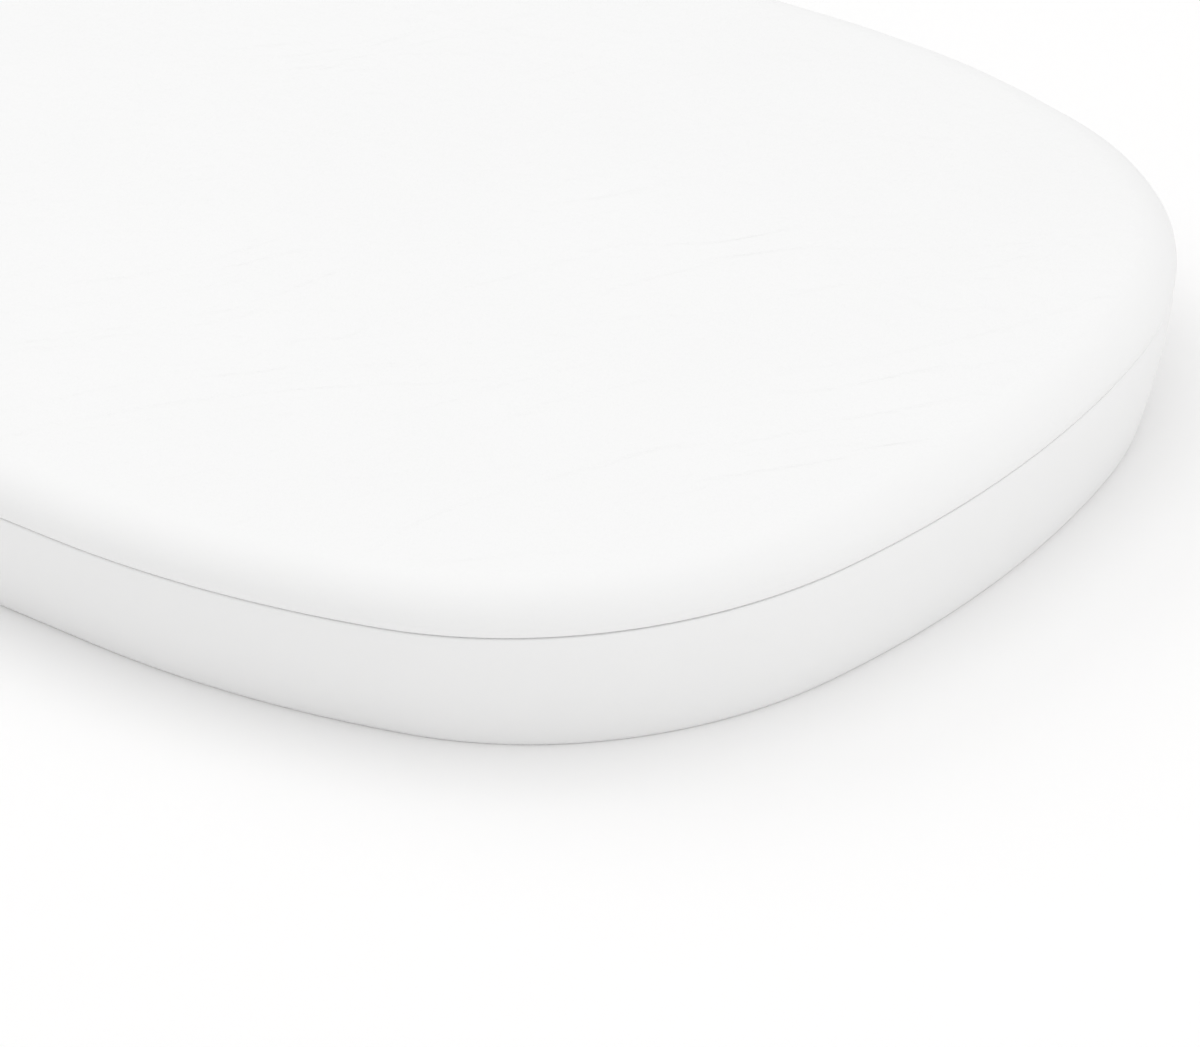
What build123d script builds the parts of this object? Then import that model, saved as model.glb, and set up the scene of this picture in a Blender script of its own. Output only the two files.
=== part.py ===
from build123d import *
from math import atan2, cos, degrees, radians, sin
import os

# A wipe-clean changing pad: a low foam mattress with straight sides and rounded ends, in a
# sewn cover of coated fabric. Its sides lean in towards the base. Origin under the middle of
# the pad, +X along it, +Z up.

# Overall size, mm
pad_length = 810
pad_width = 410
pad_height = 65
seam_height = 48  # the seam between the side band and the top panel
band_inset = 2  # the side band stands in from the top panel's edge by this much at the seam
band_lean = 8  # and by this much more where its face would meet the ground

# Plan outline of each end: a wide arc across the tip, a tighter one at the corner, and a
# long gentle flank that runs into the straight side
tip_radius = 345
tip_turn = 13  # degrees, from the middle of the tip to the corner arc
corner_radius = 148
corner_turn = 60.5

# Cover
fabric = 1.2
shoulder_radius = 14.9
lip_radius = 1.1  # the top panel's fold at the top seam
band_fold_radius = 3.5
end_turn_low = 10  # the band's turned-in ends start above the rounded base edge
base_edge_radius = 12
base_seam_inset = 26
seam_allowance = 7
seam_gap = 0.05
thread = 0.4
thread_depth = 6.2  # the top seam's stitches behind the band's face
base_stitch_height = 3

# Filling
wadding_gap = 0.5
wadding_thickness = 3
belt_low = 16
belt_top = 41
foam_split_height = 46
foam_clearance = 0.3

# Zip opening in the middle of the rear side
zip_half = 158
zip_height = 30
zip_recess = 10  # the zip tape's face in from the pad's widest line
lip_gap = 4.7  # from the zip's centre line to each folded lip
lip_flat = 9
lip_rise = 13
tape_thickness = 0.6
tape_gap = 0.9
tape_reach = 14
coil_width = 2.2
coil_height = 2.0
chain_half = 138.5
stop_length = 2.6
stitch_length = 2.4
stitch_pitch = 3.4
stitch_offset = 7
stitch_height = 0.3

# Zip slider and its pull
slide_clearance = 0.3
slider_length = 11
slider_width = 8.4
slider_plate = 1.0
slider_rail = 0.8
post_length = 2.5
post_width = 1.0
bail_length = 5.2
bail_width = 2.2
bail_wall = 0.9
pin_radius = 0.55
pin_clearance = 0.2
pull_length = 24
pull_width = 6.8
pull_arm_length = 4.5
pull_arm_gap = 3.0
pull_slot_length = 9
pull_slot_width = 2.4

# Blank care label, sewn behind the lower tape inside the cover
label_length = 32
label_drop = 14
label_thickness = 0.3

# Derived plan dimensions
half_width = pad_width / 2
flank_turn = 90 - tip_turn - corner_turn
flank_angle = radians(flank_turn)
tip_angle = radians(90 - tip_turn)
corner_width = corner_radius * (cos(flank_angle) - cos(tip_angle))
tip_width = tip_radius * cos(tip_angle)
flank_radius = (half_width - corner_width - tip_width) / (1 - cos(flank_angle))
flank_length = flank_radius * sin(flank_angle)
corner_length = corner_radius * (sin(tip_angle) - sin(flank_angle))
tip_length = tip_radius * (1 - sin(tip_angle))
straight_half = pad_length / 2 - flank_length - corner_length - tip_length

# Derived seam positions
lean_angle = degrees(atan2(band_lean, seam_height))
allowance_reach = fabric + seam_allowance  # how far a turned-in edge stands in from its face
top_allowance_inset = band_inset + allowance_reach
thread_inset = band_inset + thread_depth
base_seam_face = half_width - base_seam_inset
seam_top = seam_height + fabric + seam_gap
seam_under = seam_height - fabric - seam_gap
outer_thread = base_seam_inset - fabric - seam_gap
inner_thread = base_seam_inset + fabric + 2 * seam_gap

# Derived zip positions
zip_face = half_width - zip_recess
lip_face = zip_face + 2 * fabric
trough_face = zip_face - tape_thickness - 2 * slide_clearance - slider_rail - seam_gap
slider_face = zip_face + coil_height + slide_clearance
slider_home = chain_half - slide_clearance - slider_length / 2
pin_height = slider_face + slider_plate + pin_radius + pin_clearance

os.makedirs("parts", exist_ok=True)


def face_inset(height):
    """Return how far the leaning side band stands in from the outline at a height."""
    return band_inset + band_lean * (1 - height / seam_height)


def rear_face(height, depth=0):
    """Return Y on the rear side, at a depth behind the band's face at a height."""
    return half_width - face_inset(height) - depth


def outline(inset):
    """Draw the pad's plan outline as a face, drawn in by inset."""
    with BuildLine() as edge:
        side = Line((0, half_width - inset), (straight_half, half_width - inset))
        flank = JernArc(side @ 1, side % 1, flank_radius - inset, -flank_turn)
        corner = JernArc(flank @ 1, flank % 1, corner_radius - inset, -corner_turn)
        JernArc(corner @ 1, corner % 1, tip_radius - inset, -tip_turn)
        mirror(about=Plane.XZ)
        mirror(about=Plane.YZ)
    make_face(edge.edges())


def slab(inset, low, high, mode=Mode.ADD):
    """Extrude the outline between two heights, in the current part."""
    with BuildSketch(Plane.XY.offset(low)) as plan:
        outline(inset)
    extrude(plan.sketch, amount=high - low, mode=mode)


def round_edges(part, base_radius, top_radius):
    """Round the lower and the upper edge of the part that is being built."""
    if base_radius:
        fillet(part.edges().group_by(Axis.Z)[0], base_radius)
    if top_radius:
        fillet(part.edges().group_by(Axis.Z)[-1], top_radius)


def upright_slab(inset, low, high, base_radius=0, top_radius=0):
    """Return a slab of its own with upright sides and rounded edges."""
    with BuildPart() as upright:
        slab(inset, low, high)
        round_edges(upright, base_radius, top_radius)
    return upright.part


def leaning_slab(depth, low, high, base_radius=0, top_radius=0):
    """Return a slab that leans in with the side band, at a depth behind its face."""
    with BuildPart() as leaning:
        with BuildSketch(Plane.XY.offset(high)) as plan:
            outline(face_inset(high) + depth)
        extrude(plan.sketch, amount=low - high, taper=lean_angle)
        round_edges(leaning, base_radius, top_radius)
    return leaning.part


def ring(inner_inset, outer_inset, low, high):
    """Return an upright ring that follows the outline between two insets."""
    with BuildPart() as hoop:
        slab(outer_inset, low, high)
        slab(inner_inset, low, high, mode=Mode.SUBTRACT)
    return hoop.part


def rear_block(half_length, near, far, low, high, mode=Mode.ADD):
    """Extrude a block across the middle of the rear side, in the current part."""
    with BuildSketch(Plane.XY.offset(low)) as plan:
        with Locations((0, (near + far) / 2)):
            Rectangle(2 * half_length, far - near)
    extrude(plan.sketch, amount=high - low, mode=mode)


def finish(part, name):
    """Label a finished piece and write it to its own file."""
    part.label = name
    export_step(part, f"parts/{name}.step")


# Top panel: the lying surface, rolled over the shoulder and turned in at the top seam
top_outside = upright_slab(0, seam_height, pad_height, lip_radius, shoulder_radius)
top_inside = upright_slab(
    fabric, seam_height + fabric, pad_height - fabric, top_radius=shoulder_radius - fabric
)
with BuildPart() as top_panel:
    add(top_outside)
    add(top_inside, mode=Mode.SUBTRACT)
    slab(top_allowance_inset, seam_height, seam_height + fabric, Mode.SUBTRACT)
finish(top_panel.part, "top_panel")

# Side band: round the front and both ends, under the base edge and up into the base seam.
# Its two ends turn in where the zip bands start.
band_outside = leaning_slab(0, 0, seam_height, base_edge_radius, band_fold_radius)
band_inside = leaning_slab(
    fabric,
    fabric,
    seam_height - fabric,
    base_edge_radius - fabric,
    band_fold_radius - fabric,
)
band_allowance = ring(base_seam_inset, base_seam_inset - fabric, fabric / 2, allowance_reach)
end_turn_face = trough_face + foam_clearance
end_turn_top = seam_under - 2 * thread
with BuildPart() as side_band:
    add(band_outside)
    add(band_inside, mode=Mode.SUBTRACT)
    slab(top_allowance_inset, seam_height - fabric, seam_height, Mode.SUBTRACT)
    slab(base_seam_inset, 0, fabric, Mode.SUBTRACT)
    add(band_allowance)
    rear_block(zip_half, half_width - base_seam_inset, half_width, 0, seam_height, Mode.SUBTRACT)
    for end_face in (-zip_half - fabric, zip_half):
        with BuildSketch(Plane.YZ.offset(end_face)):
            with BuildLine():
                Polyline(
                    (rear_face(end_turn_low, fabric / 2), end_turn_low),
                    (rear_face(end_turn_top, fabric / 2), end_turn_top),
                    (end_turn_face, end_turn_top),
                    (end_turn_face, end_turn_low),
                    close=True,
                )
            make_face()
        extrude(amount=fabric)
finish(side_band.part, "side_band")

# Base panel: flat, with its edge turned up into the base seam
with BuildPart() as base_panel:
    slab(base_seam_inset + seam_gap, 0, allowance_reach)
    slab(base_seam_inset + seam_gap + fabric, fabric, allowance_reach, Mode.SUBTRACT)
finish(base_panel.part, "base_panel")

# Zip bands: the two strips of the rear side, each folded under along the zip
upper_rise = zip_height + lip_rise
with BuildPart() as zip_band_upper:
    with BuildSketch(Plane.YZ.offset(-zip_half)):
        with BuildLine():
            Polyline(
                (half_width - top_allowance_inset, seam_height),
                (rear_face(seam_height), seam_height),
                (rear_face(upper_rise), upper_rise),
                (lip_face, zip_height + lip_flat),
                (lip_face, zip_height + lip_gap),
                (zip_face, zip_height + lip_gap),
                (zip_face, upper_rise),
                (zip_face + fabric, upper_rise),
                (zip_face + fabric, zip_height + lip_flat + fabric / 2),
                (rear_face(upper_rise, fabric), upper_rise + fabric / 2),
                (rear_face(seam_height, fabric), seam_height - fabric),
                (half_width - top_allowance_inset, seam_height - fabric),
                close=True,
            )
        make_face()
    extrude(amount=2 * zip_half)
    for depth in (fabric, 0):
        corner_point = Vector(0, rear_face(seam_height, depth), seam_height - depth)
        long_edges = zip_band_upper.edges().filter_by(Axis.X)
        fillet(long_edges.sort_by_distance(corner_point)[0], band_fold_radius - depth)
finish(zip_band_upper.part, "zip_band_upper")

lower_rise = zip_height - lip_rise
with BuildPart() as zip_band_lower:
    with BuildSketch(Plane.YZ.offset(-zip_half)):
        with BuildLine():
            Polyline(
                (rear_face(0), 0),
                (rear_face(lower_rise), lower_rise),
                (lip_face, zip_height - lip_flat),
                (lip_face, zip_height - lip_gap),
                (zip_face, zip_height - lip_gap),
                (zip_face, lower_rise),
                (zip_face + fabric, lower_rise),
                (zip_face + fabric, zip_height - lip_flat - fabric / 2),
                (rear_face(lower_rise, fabric), lower_rise - fabric / 2),
                (rear_face(fabric, fabric), fabric),
                (base_seam_face + fabric, fabric),
                (base_seam_face + fabric, allowance_reach),
                (base_seam_face, allowance_reach),
                (base_seam_face, 0),
                close=True,
            )
        make_face()
    extrude(amount=2 * zip_half)
    for depth in (fabric, 0):
        corner_point = Vector(0, rear_face(depth, depth), depth)
        long_edges = zip_band_lower.edges().filter_by(Axis.X)
        fillet(long_edges.sort_by_distance(corner_point)[0], base_edge_radius - depth)
finish(zip_band_lower.part, "zip_band_lower")

# Seam threads, as the two runs of each lockstitch, one each side of the allowances
with BuildPart() as top_seam_thread:
    add(ring(thread_inset + thread, thread_inset, seam_top, seam_top + thread))
    add(ring(thread_inset + thread, thread_inset, seam_under - thread, seam_under))
finish(top_seam_thread.part, "top_seam_thread")

with BuildPart() as base_seam_thread:
    for inset in (outer_thread - thread, inner_thread):
        add(ring(inset + thread, inset, base_stitch_height, base_stitch_height + thread))
finish(base_seam_thread.part, "base_seam_thread")

# Zip stitching: a row of separate stitches along each folded lip
stitch_count = int(2 * (zip_half - stitch_pitch) / stitch_pitch)
for name, side in (("zip_stitching_upper", 1), ("zip_stitching_lower", -1)):
    with BuildPart() as zip_stitching:
        with BuildSketch(Plane.XZ.offset(-lip_face)):
            with Locations((0, zip_height + side * stitch_offset)):
                with GridLocations(stitch_pitch, 1, stitch_count, 1):
                    SlotOverall(stitch_length, thread)
        extrude(amount=-stitch_height)
    finish(zip_stitching.part, name)

# Zip tapes and coils, above and below the zip's centre line
for name, side in (("zipper_tape_upper", 1), ("zipper_tape_lower", -1)):
    with BuildPart() as zipper_tape:
        with BuildSketch(Plane.YZ.offset(-zip_half)):
            tape_middle = zip_height + side * (tape_gap + tape_reach) / 2
            with Locations((zip_face - tape_thickness / 2, tape_middle)):
                Rectangle(tape_thickness, tape_reach - tape_gap)
        extrude(amount=2 * zip_half)
    finish(zipper_tape.part, name)

for name, side in (("zipper_coil_upper", 1), ("zipper_coil_lower", -1)):
    with BuildPart() as zipper_coil:
        with BuildSketch(Plane.YZ.offset(-chain_half)):
            coil_middle = zip_height + side * (tape_gap + coil_width / 2)
            with Locations((zip_face + coil_height / 2, coil_middle)):
                Rectangle(coil_height, coil_width)
        extrude(amount=2 * chain_half)
        outer_edges = zipper_coil.edges().filter_by(Axis.X).group_by(Axis.Y)[-1]
        fillet(outer_edges, coil_width / 3)
    finish(zipper_coil.part, name)

# Stops: two short ones at the closed end of the chain, one across both coils at the other
with BuildPart() as zipper_top_stops:
    with BuildSketch(Plane.XZ.offset(-zip_face)):
        for side in (-1, 1):
            stop_middle = zip_height + side * (tape_gap + coil_width / 2)
            with Locations((chain_half + stop_length / 2, stop_middle)):
                RectangleRounded(stop_length, coil_width, slide_clearance)
    extrude(amount=-coil_height)
finish(zipper_top_stops.part, "zipper_top_stops")

with BuildPart() as zipper_bottom_stop:
    with BuildSketch(Plane.XZ.offset(-zip_face)):
        with Locations((-chain_half - stop_length / 2, zip_height)):
            RectangleRounded(stop_length, 2 * (tape_gap + coil_width), slide_clearance)
    extrude(amount=-coil_height)
finish(zipper_bottom_stop.part, "zipper_bottom_stop")

# Slider: an outer and an inner plate round the chain, joined by the post that parts the
# coils, with a rail down each side and a bail for the pull
inner_plate_face = zip_face - tape_thickness - slide_clearance
bail_top = pin_height + pin_radius + pin_clearance + bail_wall
with BuildPart() as zipper_slider:
    with BuildSketch(Plane.XZ.offset(-slider_face)):
        with Locations((slider_home, zip_height)):
            RectangleRounded(slider_length, slider_width, 2 * slider_plate)
    extrude(amount=-slider_plate)
    with BuildSketch(Plane.XZ.offset(-inner_plate_face)):
        with Locations((slider_home, zip_height)):
            RectangleRounded(slider_length, slider_width, 2 * slider_plate)
    extrude(amount=slider_rail)
    with BuildSketch(Plane.XZ.offset(-inner_plate_face)):
        with Locations((slider_home + (slider_length - post_length) / 2, zip_height)):
            Rectangle(post_length, post_width)
    extrude(amount=inner_plate_face - slider_face)
    with BuildSketch(Plane.XZ.offset(-zip_face - slide_clearance)):
        rail_middle = (slider_width - slider_rail) / 2
        with Locations((slider_home, zip_height - rail_middle), (slider_home, zip_height + rail_middle)):
            Rectangle(slider_length - 4 * slider_plate, slider_rail)
    extrude(amount=zip_face + slide_clearance - slider_face)
    with BuildSketch(Plane.XY.offset(zip_height - bail_width / 2)):
        bail_base = slider_face + slider_plate
        with Locations((slider_home, (bail_base + bail_top) / 2)):
            Rectangle(bail_length, bail_top - bail_base)
        window = 2 * (pin_radius + pin_clearance)
        with Locations((slider_home, bail_base + window / 2)):
            Rectangle(bail_length - 2 * bail_wall, window, mode=Mode.SUBTRACT)
    extrude(amount=bail_width)
finish(zipper_slider.part, "zipper_slider")

# Pull: a flat tab with two arms and a cross pin that turns in the bail
with BuildPart() as zipper_pull:
    with BuildSketch(Plane.XZ.offset(-pin_height + pin_radius)):
        tab_length = pull_length - pull_arm_length
        tab_middle = slider_home - pull_arm_length - tab_length / 2
        with Locations((tab_middle, zip_height)):
            RectangleRounded(tab_length, pull_width, pull_width / 4)
        arm_width = (pull_width - pull_arm_gap) / 2
        arm_middle = (pull_width - arm_width) / 2
        arm_x = slider_home - (pull_arm_length + pull_width / 2) / 2
        with Locations((arm_x, zip_height - arm_middle), (arm_x, zip_height + arm_middle)):
            Rectangle(pull_arm_length + pull_width / 2, arm_width)
        slot_x = slider_home - pull_length + pull_width / 2 + pull_slot_length / 2
        with Locations((slot_x, zip_height)):
            SlotOverall(pull_slot_length, pull_slot_width, mode=Mode.SUBTRACT)
    extrude(amount=-2 * pin_radius)
    with BuildSketch(Plane.XY.offset(zip_height - pull_width / 2)):
        with Locations((slider_home, pin_height)):
            Circle(pin_radius)
    extrude(amount=pull_width)
finish(zipper_pull.part, "zipper_pull")

# Care label: blank, hanging behind the lower tape
label_top = zip_height - slider_width / 2 - 2 * slide_clearance
with BuildPart() as care_label:
    with BuildSketch(Plane.XZ.offset(-zip_face + tape_thickness + seam_gap)):
        with Locations((-zip_half / 2, label_top - label_drop / 2)):
            Rectangle(label_length, label_drop)
    extrude(amount=label_thickness)
finish(care_label.part, "care_label")

# Wadding: a cap over the foam's top and a belt round its sides, open at the zip
wadding_inset = fabric + wadding_gap
wadding_low = seam_top + thread + seam_gap
wadding_top_height = pad_height - fabric - wadding_gap
wadding_radius = shoulder_radius - fabric - wadding_gap
wadding_outside = upright_slab(
    wadding_inset, wadding_low, wadding_top_height, top_radius=wadding_radius
)
wadding_inside = upright_slab(
    wadding_inset + wadding_thickness,
    wadding_low,
    wadding_top_height - wadding_thickness,
    top_radius=wadding_radius - wadding_thickness,
)
with BuildPart() as wadding_top:
    add(wadding_outside)
    add(wadding_inside, mode=Mode.SUBTRACT)
finish(wadding_top.part, "wadding_top")

belt_depth = fabric + wadding_gap
belt_outside = leaning_slab(belt_depth, belt_low, belt_top)
belt_inside = leaning_slab(belt_depth + wadding_thickness, belt_low, belt_top)
trough_half = zip_half + fabric + wadding_gap
with BuildPart() as wadding_side:
    add(belt_outside)
    add(belt_inside, mode=Mode.SUBTRACT)
    rear_block(trough_half, trough_face, half_width, 0, seam_height, Mode.SUBTRACT)
finish(wadding_side.part, "wadding_side")

# Foam: a firm core and a softer layer bonded on top of it. The core is relieved for the
# base seam's allowances and for the zip.
core_depth = belt_depth + wadding_thickness + foam_clearance
core_low = fabric + foam_clearance
core_outside = leaning_slab(
    core_depth, core_low, foam_split_height, base_radius=base_edge_radius - wadding_thickness
)
seam_groove = ring(
    inner_thread + thread + foam_clearance,
    outer_thread - thread - foam_clearance,
    core_low,
    allowance_reach + foam_clearance,
)
with BuildPart() as foam_core:
    add(core_outside)
    add(seam_groove, mode=Mode.SUBTRACT)
    rear_block(trough_half, trough_face, half_width, 0, seam_height, Mode.SUBTRACT)
finish(foam_core.part, "foam_core")

soft_inset = wadding_inset + wadding_thickness + foam_clearance
soft_top = upright_slab(
    soft_inset,
    wadding_low,
    wadding_top_height - wadding_thickness - foam_clearance,
    top_radius=wadding_radius - wadding_thickness - foam_clearance,
)
with BuildPart() as foam_top:
    add(soft_top)
    slab(top_allowance_inset + foam_clearance, foam_split_height, wadding_low)
finish(foam_top.part, "foam_top")
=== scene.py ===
import math

import bpy
import numpy as np
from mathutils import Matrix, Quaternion, Vector, noise


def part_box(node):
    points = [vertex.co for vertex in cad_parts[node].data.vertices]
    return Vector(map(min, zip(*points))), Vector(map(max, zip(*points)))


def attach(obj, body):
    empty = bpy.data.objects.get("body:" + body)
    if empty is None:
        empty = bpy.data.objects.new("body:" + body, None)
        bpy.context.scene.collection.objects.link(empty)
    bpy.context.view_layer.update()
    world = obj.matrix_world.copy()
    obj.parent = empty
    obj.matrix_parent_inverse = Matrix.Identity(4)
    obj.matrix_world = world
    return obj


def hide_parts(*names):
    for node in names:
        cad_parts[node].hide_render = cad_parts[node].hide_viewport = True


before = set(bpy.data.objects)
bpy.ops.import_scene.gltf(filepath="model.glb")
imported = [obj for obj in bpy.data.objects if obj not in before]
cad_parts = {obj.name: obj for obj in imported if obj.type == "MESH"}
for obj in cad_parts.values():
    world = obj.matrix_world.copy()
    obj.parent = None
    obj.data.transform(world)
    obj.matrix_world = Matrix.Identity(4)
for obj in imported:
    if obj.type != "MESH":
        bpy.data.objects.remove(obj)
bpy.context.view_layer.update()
MM = 0.001

# Places that the frame gives, in metres
top_low, top_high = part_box("top_panel")
base_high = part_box("base_panel")[1]
zip_low, zip_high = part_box("zip_band_upper")
coil_low, coil_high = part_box("zipper_coil_upper")
stitch_low, stitch_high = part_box("zip_stitching_upper")
HALF_LENGTH, HALF_WIDTH = top_high.x, top_high.y
SEAM_HEIGHT, PAD_HEIGHT = top_low.z, top_high.z
BASE_SEAM_INSET = HALF_WIDTH - base_high.y
ZIP_HALF = zip_high.x
ZIP_HEIGHT = (coil_low.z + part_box("zipper_coil_lower")[1].z) / 2
LIP_FACE = stitch_low.y
LIP_GAP = zip_low.z - ZIP_HEIGHT
STITCH_LINE = (stitch_low.z + stitch_high.z) / 2 - ZIP_HEIGHT

# Plan outline: the cover's own arcs in CAD. Each end is a tip between two corners and two flanks.
TIP_RADIUS, TIP_TURN = 345 * MM, math.radians(13)
CORNER_RADIUS, CORNER_TURN = 148 * MM, math.radians(60.5)
FLANK_TURN = math.pi / 2 - TIP_TURN - CORNER_TURN
TIP_HEADING = math.pi / 2 - TIP_TURN
CORNER_WIDTH = CORNER_RADIUS * (math.cos(FLANK_TURN) - math.cos(TIP_HEADING))
CORNER_LENGTH = CORNER_RADIUS * (math.sin(TIP_HEADING) - math.sin(FLANK_TURN))
TIP_WIDTH = TIP_RADIUS * math.cos(TIP_HEADING)
TIP_LENGTH = TIP_RADIUS * (1 - math.sin(TIP_HEADING))
FLANK_RADIUS = (HALF_WIDTH - CORNER_WIDTH - TIP_WIDTH) / (1 - math.cos(FLANK_TURN))
FLANK_LENGTH = FLANK_RADIUS * math.sin(FLANK_TURN)
STRAIGHT_HALF = HALF_LENGTH - FLANK_LENGTH - CORNER_LENGTH - TIP_LENGTH
OUTLINE = [
    (STRAIGHT_HALF, 0),
    (FLANK_RADIUS * FLANK_TURN, FLANK_TURN),
    (CORNER_RADIUS * CORNER_TURN, CORNER_TURN),
    (2 * TIP_RADIUS * TIP_TURN, 2 * TIP_TURN),
    (CORNER_RADIUS * CORNER_TURN, CORNER_TURN),
    (FLANK_RADIUS * FLANK_TURN, FLANK_TURN),
    (STRAIGHT_HALF, 0),
]
HALF_ROUND = sum(length for length, turn in OUTLINE)
OUTLINE_STEPS = 40000
SPINE_SHARE = 0.55

# The cover in section: cloth and seams, then the band, the shoulder, and the folds beside the zip
CLOTH = 1.0 * MM
SEAM_OPENING = 0.5 * MM
SEAM_LIP = 0.5 * MM
LIP_BEND = 0.3 * SEAM_LIP
TUCK_DEPTH = 4 * MM
BASE_GAP, BASE_LIFT = CLOTH / 8, 0.1 * MM
BAND_INSET = 0.9 * MM
BAND_LEAN = 12.5 * MM
BAND_CURVE = 1.3
BAND_FOLD = (1.0 * MM, 8 * MM)
BASE_ROUND = (0.8 * MM, 2 * MM)
BAND_ROWS = [16.5 * MM, 23 * MM, 30 * MM, 37 * MM, 40 * MM, 43.5 * MM, 45.5 * MM]
WIDEST_HEIGHT = 52.5 * MM
SHOULDER_WIDTH = 15.5 * MM
CURVE = 1.9
RECESS_BASE, RECESS_TOP = BAND_ROWS[0], BAND_ROWS[-2]
LIP_FOLD = 1.2 * MM
LIP_REACH = 9 * MM
LIP_STEPS = (0, 0.6 * MM, 2 * MM)
ZIP_END_GAP = 0.1 * MM

# How the filling swells the cover, and its unevenness as (size, depth, seed) of each ripple
SWELL = 2 * MM
PRESSURE, CLOTH_STEPS = 4, 20
RIPPLE_START = 8 * MM
RIPPLE_RISE = 0.3
TOP_RIPPLES = [(110 * MM, 0.7 * MM, 3), (40 * MM, 0.2 * MM, 7)]
BAND_RIPPLES = [(70 * MM, 0.5 * MM, 11), (28 * MM, 0.12 * MM, 13)]
ZIP_RIPPLES = [(14 * MM, 0.25 * MM, 17)]

# The side band's turned-in ends: steps along the band and in from its face
END_TURN = [(0.02 * MM, 2.5 * MM), (0.1 * MM, 1.1 * MM), (0.35 * MM, 0.4 * MM), (1.0 * MM, 0.08 * MM)]

# Zip coils and stitches: POST_ROOM is half the gap that the slider's post runs in
COIL_WIRE, COIL_PITCH, COIL_POINTS = 0.3 * MM, 1.3 * MM, 14
POST_ROOM = 0.6 * MM
STITCH_PITCH, STITCH_LENGTH, STITCH_RADIUS = 3.4 * MM, 2.4 * MM, 0.22 * MM
STITCH_RISE, STITCH_DIP, STITCH_SLANT = 0.16 * MM, 0.3 * MM, 0.08 * MM
SLANT_STEP = 7.3

# Mesh spacing: metres between columns round the pad, and counts of rows
AROUND = 6 * MM
TOP_ROWS, BASE_ROWS = 17, 5
ROUND_ROWS = 9
ZIP_FINER = 3

# Camera, fitted to the photo: degrees and metres, aimed from where the pad's rounded end starts
CAMERA_AZIMUTH, CAMERA_ELEVATION, CAMERA_ROLL = 43.62, 31.29, 5.68
CAMERA_AIM = (0.0926, -0.0419)
CAMERA_DISTANCE = 2.011
CAMERA_LENS = 180

# Studio, in metres
FLOOR_REACH = 8
LIGHT_SIZE = 2.0

# Blender's wave texture turns this many radians over one unit of its scaled coordinates
WAVE_RATE = 20


# ---------------------------------------------------------------- meshes

def mesh_object(name, points, faces):
    """A smooth-shaded mesh object from an array of points and a list of faces."""
    mesh = bpy.data.meshes.new(name)
    mesh.from_pydata(np.asarray(points).tolist(), [], [list(map(int, face)) for face in faces])
    mesh.polygons.foreach_set("use_smooth", [True] * len(mesh.polygons))
    mesh.update()
    made = bpy.data.objects.new(name, mesh)
    bpy.context.scene.collection.objects.link(made)
    return made


def shape(piece, kind, **settings):
    """Apply one modifier to a piece's mesh."""
    modifier = piece.modifiers.new(kind.title(), kind)
    for key, value in settings.items():
        setattr(modifier, key, value)
    evaluated = piece.evaluated_get(bpy.context.evaluated_depsgraph_get())
    plain, piece.data = piece.data, bpy.data.meshes.new_from_object(evaluated)
    piece.modifiers.clear()
    bpy.data.meshes.remove(plain)


def read(mesh, what):
    """A mesh's points ("co") or normals ("normal") as an array."""
    flat = np.empty(len(mesh.vertices) * 3)
    mesh.vertices.foreach_get(what, flat)
    return flat.reshape(-1, 3)


def grid_faces(rows, columns, closed):
    """Quads between consecutive rows of a grid, row after row, closed round or open."""
    faces = []
    for low in range(0, (rows - 1) * columns, columns):
        for column in range(columns if closed else columns - 1):
            beside = (column + 1) % columns
            high = low + columns
            faces.append((low + column, high + column, high + beside, low + beside))
    return faces


def ripple(piece, size, depth, seed):
    """Move a piece's points along their normals by smooth noise that dies out at the seams."""
    points, normals = read(piece.data, "co"), read(piece.data, "normal")
    offset = Vector((seed, 2 * seed, 3 * seed))
    shift = np.array([noise.noise(Vector(point) / size + offset) for point in points])
    from_seam = np.minimum(abs(points[:, 2] - SEAM_HEIGHT), points[:, 2])
    shift = depth * (shift + RIPPLE_RISE) * np.clip(from_seam / RIPPLE_START, 0, 1)
    piece.data.vertices.foreach_set("co", (points + normals * shift[:, None]).ravel())
    piece.data.update()


def give_thickness(piece):
    """Turn a sheet of cloth into a closed shell that lies inside its outer face."""
    shape(piece, "SOLIDIFY", thickness=CLOTH, offset=-1)


def dress(piece, material, slot, *nodes):
    """Give a piece its material and body, and let it stand for CAD nodes. The slot is not used."""
    piece.data.materials.clear()
    piece.data.materials.append(material)
    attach(piece, "pad")
    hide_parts(*nodes)
    return piece


# ---------------------------------------------------------------- outline and section

def outline_at(distances):
    """Points and outward normals at distances clockwise from the middle of the rear side."""
    lengths, turns = np.array(OUTLINE * 2).T
    corners = np.concatenate([[0], np.cumsum(lengths)])
    headings = np.concatenate([[0], np.cumsum(turns)])
    fine = np.linspace(0, corners[-1], OUTLINE_STEPS + 1)
    heading = np.interp(fine, corners, headings)
    along = np.stack([np.cos(heading), -np.sin(heading)])
    steps = (along[:, 1:] + along[:, :-1]) / 2 * fine[1]
    path = np.concatenate([[[0], [HALF_WIDTH]], steps], axis=1).cumsum(axis=1)
    at = np.interp(distances, corners, headings)
    points = np.stack([np.interp(distances, fine, way) for way in path], 1)
    return points, np.stack([np.sin(at), np.cos(at)], 1)


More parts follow.
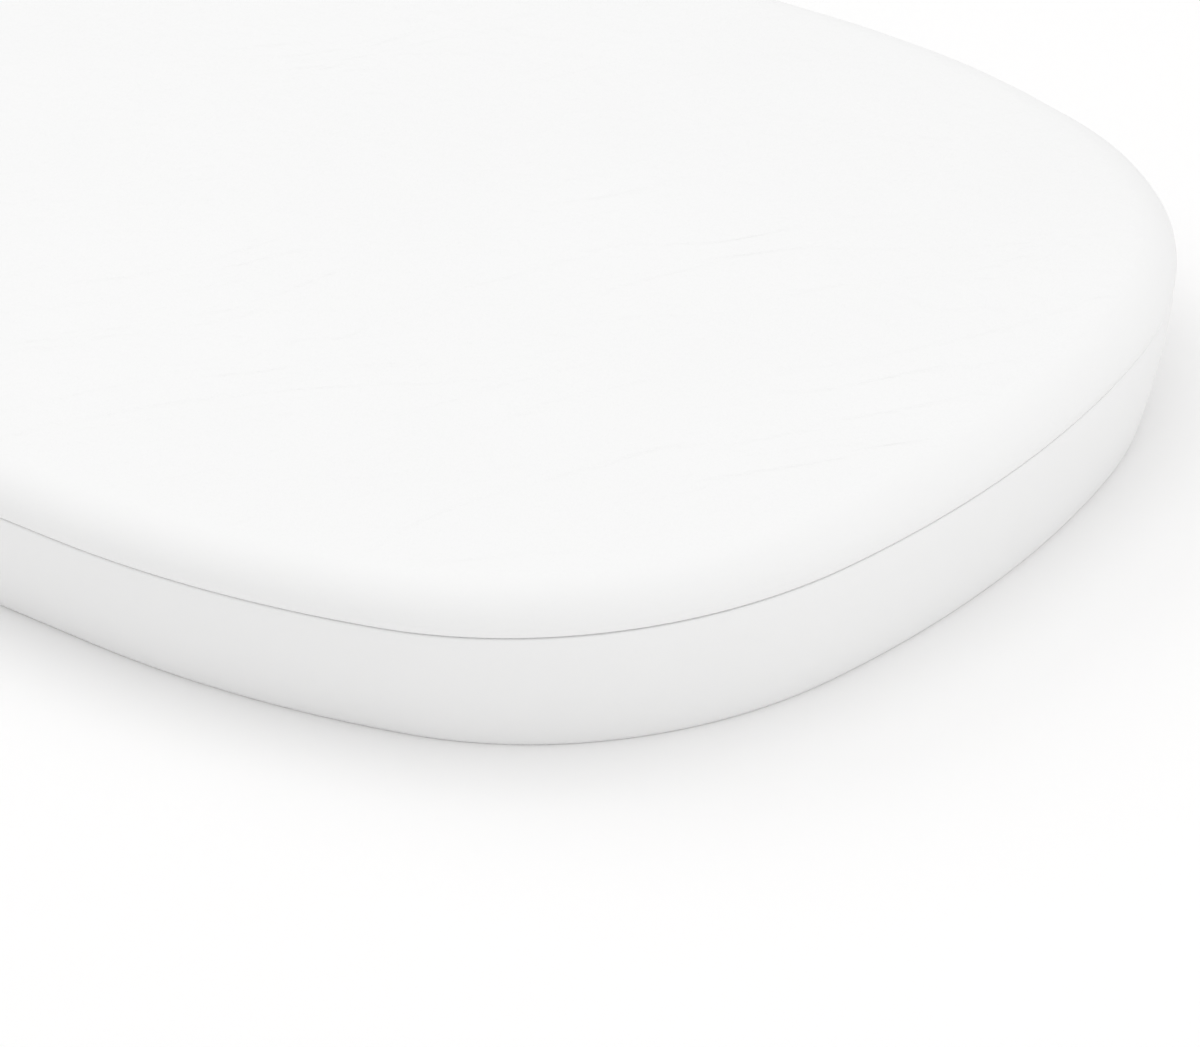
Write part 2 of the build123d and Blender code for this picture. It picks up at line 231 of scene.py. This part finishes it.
def stations():
    """Distances round the outline, alike at front and rear, and how many lie on half the zip."""
    on_zip = round(ZIP_HALF / AROUND)
    between = 2 * round((HALF_ROUND - 2 * ZIP_HALF) / AROUND / 2)
    half = np.concatenate([
        np.linspace(0, ZIP_HALF, on_zip, endpoint=False),
        np.linspace(ZIP_HALF, HALF_ROUND - ZIP_HALF, between, endpoint=False),
        np.linspace(HALF_ROUND - ZIP_HALF, HALF_ROUND, on_zip, endpoint=False),
    ])
    return np.concatenate([half, half + HALF_ROUND]), on_zip


def quarter(width, height):
    """(inset, climb) round a quarter of a superellipse, from its upright side to its flat one."""
    for angle in np.linspace(0, math.pi / 2, ROUND_ROWS):
        across = 1 - math.cos(angle) ** (2 / CURVE)
        yield width * across, height * math.sin(angle) ** (2 / CURVE)


def face_inset(height):
    """How far the leaning, slightly rounded band stands in from the outline at a height."""
    return BAND_INSET + BAND_LEAN * (1 - height / SEAM_HEIGHT) ** BAND_CURVE


def band_section():
    """(inset, height) up the band: base seam, rounded base edge, leaning face, top seam."""
    rows = [(BASE_SEAM_INSET, TUCK_DEPTH), (BASE_SEAM_INSET, SEAM_LIP)]
    rows += [(BASE_SEAM_INSET - SEAM_LIP, 0)]
    width, height = BASE_ROUND
    for across, drop in reversed(list(quarter(width, height))):
        rows.append((face_inset(height - drop) + across, height - drop))
    for climb in BAND_ROWS:
        rows.append((face_inset(climb) + fold_inset(climb), climb))
    seam = SEAM_HEIGHT - SEAM_OPENING / 2
    lip = BAND_INSET + fold_inset(seam - SEAM_LIP)
    rows += [(lip, seam - SEAM_LIP), (lip + LIP_BEND, seam - LIP_BEND)]
    rows += [(lip + 2 * SEAM_LIP, seam), (lip + TUCK_DEPTH, seam)]
    return rows


def fold_inset(height):
    """How much the band's upper fold adds to its inset at a height."""
    width, rise = BAND_FOLD
    share = max(0, (height - SEAM_HEIGHT + rise) / rise)
    return width * (1 - math.sqrt(1 - share**2))


def shoulder_section():
    """(inset, height) up from the seam, out to the widest line and over to the flat top."""
    seam = SEAM_HEIGHT + SEAM_OPENING / 2
    rows = [(BAND_INSET + TUCK_DEPTH, seam), (BAND_INSET + 2 * SEAM_LIP, seam)]
    rows += [(BAND_INSET + LIP_BEND, seam + LIP_BEND)]
    low = seam + SEAM_LIP
    for share in (0, 0.25, 0.5, 0.75):
        inset = BAND_INSET * (1 - math.sin(share * math.pi / 2))
        rows.append((inset, low + (WIDEST_HEIGHT - low) * share))
    for across, climb in quarter(SHOULDER_WIDTH, PAD_HEIGHT - WIDEST_HEIGHT):
        rows.append((across, WIDEST_HEIGHT + climb))
    return rows


def spine_rows(edge, count):
    """Rows from an edge all round the pad inwards to a spine along its middle."""
    spine = edge * [SPINE_SHARE, 0, 1]
    return [edge + (spine - edge) * share for share in np.linspace(0, 1, count + 1)[1:]]


def surround(section):
    """One row of points round the pad for each (inset, height) of a section."""
    points, normals = outline_at(stations()[0])
    return [np.column_stack([points - normals * inset, np.full(len(points), height)])
            for inset, height in section]


def spine_faces(rows, columns):
    """Faces of rows that end on a spine, where each point of the spine closes both sides."""
    spine = (rows - 1) * columns
    place = np.arange(columns)
    across = (columns // 2 - place) % columns
    merged = np.concatenate([np.arange(spine), spine + np.minimum(place, across)])
    return [list(dict.fromkeys(merged[list(face)].tolist())) for face in grid_faces(rows, columns, True)]


def closed_panel(name, rows, flip):
    """A panel whose rows end on a spine, with only the points that its faces use."""
    points = np.concatenate(rows)
    faces = spine_faces(len(rows), len(rows[0]))
    used = np.unique(np.concatenate(faces))
    number = np.zeros(len(points), int)
    number[used] = np.arange(len(used))
    return mesh_object(name, points[used], [number[face[::flip]] for face in faces])


# ---------------------------------------------------------------- cover

def inflate(points, faces, held):
    """Blow up the cover with some of its points held, and return where its points go.

    The longest move is scaled to SWELL, and every other move with it.
    """
    blank = mesh_object("cover_blank", points, faces)
    blank.vertex_groups.new(name="held").add(held.tolist(), 1, "REPLACE")
    settings = blank.modifiers.new("Cloth", "CLOTH").settings
    settings.use_pressure = True
    settings.uniform_pressure_force = PRESSURE
    settings.effector_weights.gravity = 0
    settings.vertex_group_mass = "held"
    for step in range(1, CLOTH_STEPS + 1):
        bpy.context.scene.frame_set(step)
    evaluated = blank.evaluated_get(bpy.context.evaluated_depsgraph_get())
    shift = read(evaluated.data, "co") - points
    bpy.data.objects.remove(blank)
    bpy.context.scene.frame_set(1)
    return points + shift * SWELL / np.linalg.norm(shift, axis=1).max()


def make_cover():
    """The cover's outer face, swollen by the filling, as rows of points round the pad.

    Returns the rows from the base seam up, and the number of the first row above the top seam.
    The rows next to both seams are held.
    """
    band, shoulder = surround(band_section()), surround(shoulder_section())
    rows = band + shoulder + spine_rows(shoulder[-1], TOP_ROWS)
    columns, seam = len(band[0]), len(band)
    faces = spine_faces(len(rows), columns)
    faces = [face for face in faces if not min(face) < seam * columns <= max(face)]
    points = np.concatenate(rows)
    held_rows = np.array([0, 1, 2, seam - 2, seam - 1, seam, seam + 1])
    held = (held_rows[:, None] * columns + np.arange(columns)).ravel()
    points = inflate(points, faces, held)
    return points.reshape(len(rows), columns, 3), seam


def make_top(rows, material):
    """The top panel, from its tucked edge over the shoulder and across the flat."""
    piece = closed_panel("top_panel_cloth", rows, 1)
    shape(piece, "SUBSURF", levels=1)
    for setting in TOP_RIPPLES:
        ripple(piece, *setting)
    give_thickness(piece)
    dress(piece, material, "cover_cloth", "top_panel")


def make_band(rows, on_zip, material):
    """The side band, from one end of the zip round the front to the other, its ends turned in."""
    band = rows[:, on_zip:rows.shape[1] - on_zip + 1]
    first = [band[:, 0] + [along, -deep, 0] for along, deep in END_TURN]
    last = [band[:, -1] + [-along, -deep, 0] for along, deep in END_TURN[::-1]]
    grid = np.stack(first + list(band[:, 1:-1].transpose(1, 0, 2)) + last, axis=1)
    piece = mesh_object("side_band_cloth", grid.reshape(-1, 3), grid_faces(*grid.shape[:2], False))
    shape(piece, "SUBSURF", levels=1)
    for setting in BAND_RIPPLES:
        ripple(piece, *setting)
    give_thickness(piece)
    dress(piece, material, "cover_cloth", "side_band")


def lip_rows(side):
    """(Y, height) of a folded lip, from its flat face round the fold and up behind."""
    rows = [(LIP_FACE, LIP_REACH - back) for back in LIP_STEPS]
    for angle in np.linspace(0, math.pi, 7):
        deep, down = 1 - math.cos(angle), math.sin(angle)
        rows.append((LIP_FACE - LIP_FOLD * deep, LIP_GAP + LIP_FOLD * (1 - down)))
    rows.append((LIP_FACE - 2 * LIP_FOLD, LIP_REACH))
    return [(y, ZIP_HEIGHT + side * rise) for y, rise in rows]


def make_zip_band(name, wall, side, material):
    """A strip of cover between a seam and the zip: its wall, and the lip folded along the zip."""
    fine = np.linspace(0, wall.shape[1] - 1, (wall.shape[1] - 1) * ZIP_FINER + 1)
    coarse = np.arange(wall.shape[1])
    rows = [np.column_stack([np.interp(fine, coarse, way) for way in row.T]) for row in wall]
    along = np.clip(rows[0][:, 0], ZIP_END_GAP - ZIP_HALF, ZIP_HALF - ZIP_END_GAP)
    for row in rows:
        row[:, 0] = along
    lip = [np.column_stack([along, np.full(len(along), y), np.full(len(along), z)])
           for y, z in lip_rows(side)]
    grid = np.stack(rows + lip if side < 0 else (rows[::-1] + lip)[::-1])
    piece = mesh_object(name + "_cloth", grid.reshape(-1, 3), grid_faces(*grid.shape[:2], False))
    shape(piece, "SUBSURF", levels=1)
    for setting in ZIP_RIPPLES:
        ripple(piece, *setting)
    give_thickness(piece)
    dress(piece, material, "cover_cloth", name)


def make_base(material):
    """The base panel: flat on the ground, with its edge turned up into the base seam."""
    inset = BASE_SEAM_INSET + BASE_GAP
    section = [(inset, TUCK_DEPTH), (inset, 2 * SEAM_LIP), (inset + SEAM_LIP / 3, SEAM_LIP / 2)]
    section += [(inset + SEAM_LIP, BASE_LIFT), (inset + 3 * SEAM_LIP, BASE_LIFT)]
    edge = surround(section)
    rows = edge + spine_rows(edge[-1], BASE_ROWS)
    piece = closed_panel("base_panel_cloth", rows, -1)
    give_thickness(piece)
    dress(piece, material, "base_cloth", "base_panel")


# ---------------------------------------------------------------- zip

def tube(path, out, radius, sides):
    """Points and faces of a closed round tube along a path, with a direction across it."""
    ahead = np.gradient(path, axis=0)
    ahead /= np.linalg.norm(ahead, axis=1, keepdims=True)
    out = out - ahead * (out * ahead).sum(axis=1, keepdims=True)
    out /= np.linalg.norm(out, axis=1, keepdims=True)
    across = np.cross(ahead, out)
    turn = np.linspace(0, 2 * math.pi, sides, endpoint=False)[:, None]
    rings = out[:, None] * np.cos(turn) + across[:, None] * np.sin(turn)
    points = (path[:, None] + radius * rings).reshape(-1, 3)
    faces = [face[::-1] for face in grid_faces(len(path), sides, True)]
    faces += [range(sides)[::-1], range(len(points) - sides, len(points))]
    return points, faces


def make_coil(name, side, material):
    """One zip coil: a monofilament wound in a flattened helix along the tape's edge."""
    low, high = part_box(name)
    reach = coil_high.z - ZIP_HEIGHT
    middle = [0, (low.y + high.y) / 2, ZIP_HEIGHT + side * (reach + POST_ROOM) / 2]
    width = (reach - POST_ROOM) / 2 - COIL_WIRE
    height = (high.y - low.y) / 2 - COIL_WIRE
    turns = int((high.x - low.x - 4 * COIL_WIRE) / COIL_PITCH)
    angle = np.linspace(0, 2 * math.pi * turns, turns * COIL_POINTS)
    out = np.column_stack([angle * 0, height * np.cos(angle), side * width * np.sin(angle)])
    path = middle + out
    path[:, 0] = low.x + 2 * COIL_WIRE + COIL_PITCH * angle / (2 * math.pi)
    wire = mesh_object(name + "_wire", *tube(path, out, COIL_WIRE, sides=6))
    dress(wire, material, "zip_coil", name)


def make_stitches(name, side, material):
    """A row of stitches along a folded lip, each a short thread that dips in at both ends."""
    low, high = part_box(name)
    count = round((high.x - low.x - STITCH_LENGTH) / STITCH_PITCH) + 1
    share = np.linspace(-1, 1, 9)
    rise = STITCH_RISE - STITCH_DIP * share**4
    points, faces = [], []
    for index in range(count):
        slant = STITCH_SLANT * math.sin(SLANT_STEP * index)
        middle = low.x + STITCH_LENGTH / 2 + index * STITCH_PITCH
        path = np.column_stack([
            middle + share * STITCH_LENGTH / 2,
            LIP_FACE + rise,
            ZIP_HEIGHT + side * STITCH_LINE + share * slant,
        ])
        own_points, own_faces = tube(path, [0, 1, 0], STITCH_RADIUS, sides=7)
        start = index * len(own_points)
        points.append(own_points)
        faces += [[start + corner for corner in face] for face in own_faces]
    row = mesh_object(name + "_thread", np.concatenate(points), faces)
    dress(row, material, "thread", name)


# ---------------------------------------------------------------- materials

def new_material(name, **shader):
    """A node material with the given constants on its Principled shader."""
    material = bpy.data.materials.new(name)
    material.use_nodes = True
    principled = material.node_tree.nodes["Principled BSDF"]
    for key, value in shader.items():
        principled.inputs[key.replace("_", " ")].default_value = value
    return material, material.node_tree, principled


def add_node(tree, kind, *into, **settings):
    """A shader node, with (input, value or socket) pairs and its settings."""
    node = tree.nodes.new("ShaderNode" + kind)
    for key, value in settings.items():
        setattr(node, key, value)
    for key, value in into:
        if isinstance(value, bpy.types.NodeSocket):
            tree.links.new(value, node.inputs[key])
        else:
            node.inputs[key].default_value = value
    return node


def placed(tree, turn=0.0, scale=(1, 1, 1)):
    """Object coordinates, turned about Z and then scaled."""
    where = add_node(tree, "TexCoord").outputs["Object"]
    turned = add_node(tree, "Mapping", ("Vector", where), ("Rotation", (0, 0, turn)))
    return add_node(tree, "Mapping", ("Vector", turned.outputs[0]), ("Scale", scale)).outputs[0]


def fuzz(tree, where, scale, detail=2.0, distortion=0.0):
    """Smooth noise from 0 to 1, with its scale in features to the metre."""
    pairs = [("Vector", where), ("Scale", scale), ("Detail", detail), ("Distortion", distortion)]
    return add_node(tree, "TexNoise", *pairs).outputs["Fac"]


def remap(tree, value, low, high, to_low, to_high):
    """A value stretched from one range to another, and held inside it."""
    pairs = [("Value", value), ("From Min", low), ("From Max", high)]
    pairs += [("To Min", to_low), ("To Max", to_high)]
    return add_node(tree, "MapRange", *pairs, clamp=True).outputs["Result"]


def bumped(tree, height, distance, below=None):
    """A bump of a height field, on top of another normal."""
    pairs = [("Height", height), ("Distance", distance), ("Strength", 1.0)]
    if below is not None:
        pairs.append(("Normal", below))
    return add_node(tree, "Bump", *pairs).outputs["Normal"]


def shade(tree, value, low, high):
    """A colour between two close shades."""
    ramp = add_node(tree, "ValToRGB", ("Fac", value))
    for stop, colour in zip(ramp.color_ramp.elements, (low, high)):
        stop.color = (*colour, 1)
    return ramp.outputs["Color"]


def creases(tree):
    """Height of the flat top's long faint creases, here and there, and of its fine crumple.

    A crease runs where a stretched noise passes its middle value.
    """
    height = add_node(tree, "SeparateXYZ", (0, placed(tree))).outputs["Z"]
    on_top = remap(tree, height, PAD_HEIGHT - 1.5 * MM, PAD_HEIGHT, 0, 1)
    stretched = placed(tree, math.radians(-53), (9, 30, 60))
    lines = fuzz(tree, stretched, 1.0, distortion=0.7)
    off_middle = add_node(tree, "Math", (0, lines), (1, 0.5), operation="SUBTRACT").outputs[0]
    ridge = add_node(tree, "Math", (0, off_middle), operation="ABSOLUTE").outputs[0]
    line = remap(tree, ridge, 0, 0.05, 0, 1)
    there = remap(tree, fuzz(tree, placed(tree), 9.0, 1.0), 0.45, 0.62, 0, on_top)
    folds = add_node(tree, "Mix", ("Factor", there), ("A", 1.0), ("B", line), data_type="FLOAT")
    crumple = remap(tree, fuzz(tree, placed(tree), 180.0, 3.0), 0.3, 0.7, 0, on_top)
    both = add_node(tree, "Math", (0, folds.outputs["Result"]), (1, crumple), operation="ADD")
    return both.outputs[0]


def coated_cloth():
    """White film-coated cloth: fine grain, faint long creases, and a soft satin surface."""
    material, tree, shader = new_material("coated_cloth", Specular_IOR_Level=0.35)
    where = placed(tree)
    colour = shade(tree, fuzz(tree, where, 9.0, 3.0), (0.862, 0.862, 0.86), (0.885, 0.885, 0.884))
    tree.links.new(colour, shader.inputs["Base Color"])
    tree.links.new(remap(tree, fuzz(tree, where, 60.0), 0, 1, 0.46, 0.6), shader.inputs["Roughness"])
    grain = bumped(tree, fuzz(tree, where, 1100.0), 0.00002)
    soft = bumped(tree, fuzz(tree, where, 45.0), 0.0003, grain)
    tree.links.new(bumped(tree, creases(tree), 0.0002, soft), shader.inputs["Normal"])
    return material


def woven(name, low, high, rate, depth, roughness=0.8):
    """Plain-woven cloth in two close shades, with its threads 2 pi / rate metres apart."""
    material, tree, shader = new_material(name, Roughness=roughness, Specular_IOR_Level=0.2)
    where = placed(tree)
    pairs = [("Vector", where), ("Scale", rate / WAVE_RATE), ("Distortion", 0.6), ("Detail", 1.0)]
    warp = add_node(tree, "TexWave", *pairs, bands_direction="X").outputs["Fac"]
    weft = add_node(tree, "TexWave", *pairs, bands_direction="Z").outputs["Fac"]
    cross = add_node(tree, "Math", (0, warp), (1, weft), operation="MAXIMUM").outputs[0]
    mixed = add_node(tree, "Math", (0, cross), (1, fuzz(tree, where, 300.0)), operation="MULTIPLY")
    tree.links.new(shade(tree, mixed.outputs[0], low, high), shader.inputs["Base Color"])
    tree.links.new(bumped(tree, cross, depth), shader.inputs["Normal"])
    return material


def porous(name, low, high, scale, depth):
    """Foam or wadding: cells or fibres of one scale, in two close shades."""
    material, tree, shader = new_material(name, Roughness=0.95, Specular_IOR_Level=0.1)
    where = placed(tree)
    cells = add_node(tree, "TexVoronoi", ("Vector", where), ("Scale", scale)).outputs["Distance"]
    tint = add_node(tree, "Math", (0, cells), (1, fuzz(tree, where, scale / 4)), operation="ADD")
    tree.links.new(shade(tree, tint.outputs[0], low, high), shader.inputs["Base Color"])
    tree.links.new(bumped(tree, cells, depth), shader.inputs["Normal"])
    return material


def hard(name, low, high, roughness, **shader_values):
    """Smooth nylon or painted metal, with a little unevenness in its shine."""
    material, tree, shader = new_material(name, **shader_values)
    where = placed(tree)
    tree.links.new(shade(tree, fuzz(tree, where, 120.0), low, high), shader.inputs["Base Color"])
    shine = remap(tree, fuzz(tree, where, 400.0), 0, 1, roughness * 0.8, roughness * 1.2)
    tree.links.new(shine, shader.inputs["Roughness"])
    tree.links.new(bumped(tree, fuzz(tree, where, 900.0), 0.00001), shader.inputs["Normal"])
    return material


def coat(material, *nodes):
    """Give carried-over CAD nodes a material."""
    for node in nodes:
        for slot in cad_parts[node].material_slots:
            slot.material = material


# ---------------------------------------------------------------- studio

def make_floor():
    """A plain pale floor with barely a speckle in it."""
    corners = [(-1, -1, 0), (1, -1, 0), (1, 1, 0), (-1, 1, 0)]
    floor = mesh_object("studio_floor", FLOOR_REACH * np.array(corners), [(0, 1, 2, 3)])
    material, tree, shader = new_material("studio_floor", Roughness=0.8, Specular_IOR_Level=0.1)
    speckle = fuzz(tree, placed(tree), 30.0)
    colour = shade(tree, speckle, (0.935, 0.932, 0.93), (0.94, 0.937, 0.935))
    tree.links.new(colour, shader.inputs["Base Color"])
    floor.data.materials.append(material)


def make_light(name, place, radiance):
    """A round soft light of a given brightness that looks at the pad's visible end."""
    lamp = bpy.data.lights.new(name, "AREA")
    lamp.shape = "DISK"
    lamp.size = LIGHT_SIZE
    lamp.energy = radiance * math.pi**2 * LIGHT_SIZE**2 / 4
    holder = bpy.data.objects.new(name, lamp)
    aim = Vector((STRAIGHT_HALF, 0, 0))
    holder.location = aim + Vector(place)
    holder.rotation_euler = (-Vector(place)).to_track_quat("-Z", "Y").to_euler()
    bpy.context.scene.collection.objects.link(holder)


def make_world(brightness):
    """The same white light from every side."""
    world = bpy.data.worlds.new("studio")
    world.use_nodes = True
    sky = world.node_tree.nodes["Background"]
    sky.inputs["Color"].default_value = (1, 1, 1, 1)
    sky.inputs["Strength"].default_value = brightness
    bpy.context.scene.world = world


def make_camera():
    """Looks down on the pad's end from in front and to its right, a little rolled."""
    angles = (CAMERA_AZIMUTH, CAMERA_ELEVATION, CAMERA_ROLL)
    azimuth, elevation, roll = (math.radians(angle) for angle in angles)
    target = Vector((STRAIGHT_HALF + CAMERA_AIM[0], CAMERA_AIM[1], 0))
    back = Vector((math.sin(azimuth), -math.cos(azimuth), math.tan(elevation))).normalized()
    data = bpy.data.cameras.new("camera")
    data.lens = CAMERA_LENS
    camera = bpy.data.objects.new("camera", data)
    camera.location = target + back * CAMERA_DISTANCE
    camera.rotation_mode = "QUATERNION"
    camera.rotation_quaternion = (-back).to_track_quat("-Z", "Y") @ Quaternion((0, 0, 1), -roll)
    bpy.context.scene.collection.objects.link(camera)
    bpy.context.scene.camera = camera


# ---------------------------------------------------------------- build

cloth = coated_cloth()
white_thread = woven("white_thread", (0.8, 0.8, 0.79), (0.88, 0.88, 0.87), 8000, 0.00003)
nylon = hard("zip_nylon", (0.8, 0.8, 0.79), (0.85, 0.85, 0.84), 0.35)
metal = hard("painted_metal", (0.78, 0.78, 0.775), (0.82, 0.82, 0.815), 0.25, Coat_Weight=0.5)

cover, seam_row = make_cover()
zip_columns = stations()[1]
make_top(cover[seam_row:], cloth)
make_band(cover[:seam_row], zip_columns, cloth)
rear = np.roll(cover, zip_columns, axis=1)[:, :2 * zip_columns + 1]
heights = [height for inset, height in band_section()]
recess_base, recess_top = heights.index(RECESS_BASE), heights.index(RECESS_TOP)
make_zip_band("zip_band_lower", rear[:recess_base + 1], -1, cloth)
make_zip_band("zip_band_upper", rear[recess_top:seam_row], 1, cloth)
make_base(woven("base_cloth", (0.56, 0.56, 0.55), (0.66, 0.66, 0.65), 1500, 0.0001))
for end, side in (("upper", 1), ("lower", -1)):
    make_coil(f"zipper_coil_{end}", side, nylon)
    make_stitches(f"zip_stitching_{end}", side, white_thread)

tape = woven("zip_tape", (0.72, 0.72, 0.71), (0.84, 0.84, 0.83), 3000, 0.00006)
coat(tape, "zipper_tape_upper", "zipper_tape_lower")
coat(nylon, "zipper_top_stops", "zipper_bottom_stop")
coat(metal, "zipper_slider", "zipper_pull")
coat(white_thread, "top_seam_thread", "base_seam_thread")
coat(woven("label_cloth", (0.84, 0.84, 0.83), (0.9, 0.9, 0.89), 6000, 0.00002, 0.5), "care_label")
coat(porous("wadding", (0.86, 0.86, 0.86), (0.93, 0.93, 0.93), 900, 0.0003), "wadding_top", "wadding_side")
coat(porous("soft_foam", (0.82, 0.8, 0.7), (0.88, 0.86, 0.77), 1400, 0.0003), "foam_top")
coat(porous("firm_foam", (0.62, 0.67, 0.72), (0.7, 0.74, 0.78), 1800, 0.0002), "foam_core")

bpy.context.scene.view_settings.view_transform = "Standard"
make_floor()
make_world(0.82)
make_light("overhead", (0, 0, 2.4), 0.82)
make_light("far_end", (-1.8, 0, 1.7), 0.9)
make_light("near_end", (1.9, 0, 1.2), 0.58)
make_camera()
